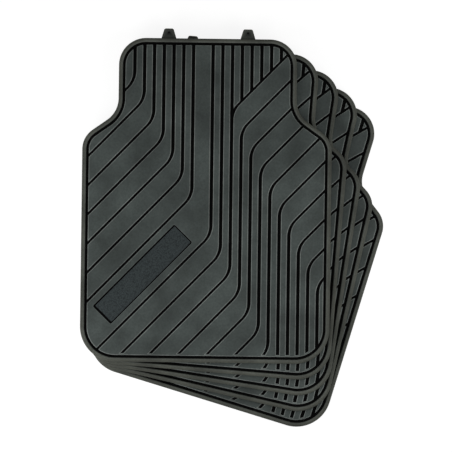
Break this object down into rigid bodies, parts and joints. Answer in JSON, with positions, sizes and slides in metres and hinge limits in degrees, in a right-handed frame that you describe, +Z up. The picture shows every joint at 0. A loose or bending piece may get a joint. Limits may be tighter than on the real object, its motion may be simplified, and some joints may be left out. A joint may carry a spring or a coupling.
{
  "type": "floor mat set",
  "caption": "Moulded rubber vehicle floor mats with a raised rim, grooved tread panels, a badge recess and hanging tabs, laid on each other and fanned about one corner.",
  "frame": {"origin": "on the floor, on the underside of the bottom mat, straight under the centre of the top mat", "axes": "+Y along the top mat towards its narrow head with the hanging tabs, +X to the right across it, +Z up out of the pile"},
  "size_m": [0.5884, 0.7728, 0.0412],
  "materials": {
    "mat_rubber": "moulded matt black rubber",
    "badge_vinyl": "finely stippled black vinyl, bare"
  },
  "bodies": {
    "bottom_mat": {"mat_5": "mat_rubber", "badge_plate_5": "badge_vinyl"},
    "fourth_mat": {"mat_4": "mat_rubber", "badge_plate_4": "badge_vinyl"},
    "third_mat": {"mat_3": "mat_rubber", "badge_plate_3": "badge_vinyl"},
    "second_mat": {"mat_2": "mat_rubber", "badge_plate_2": "badge_vinyl"},
    "top_mat": {"mat_1": "mat_rubber", "badge_plate_1": "badge_vinyl"}
  },
  "joints": [
    {"name": "fourth_mat_fan", "type": "hinge", "parent": "bottom_mat", "child": "fourth_mat", "pos_m": [-0.2465, -0.3275, 0.0083], "axis": [0, 0, 1], "range_deg": [-4.12, 12]},
    {"name": "third_mat_fan", "type": "hinge", "parent": "fourth_mat", "child": "third_mat", "pos_m": [-0.2465, -0.3275, 0.0166], "axis": [0, 0, 1], "range_deg": [-4.12, 12]},
    {"name": "second_mat_fan", "type": "hinge", "parent": "third_mat", "child": "second_mat", "pos_m": [-0.2465, -0.3275, 0.0249], "axis": [0, 0, 1], "range_deg": [-4.12, 12]},
    {"name": "top_mat_fan", "type": "hinge", "parent": "second_mat", "child": "top_mat", "pos_m": [-0.2465, -0.3275, 0.0332], "axis": [0, 0, 1], "range_deg": [-4.12, 12]}
  ]
}
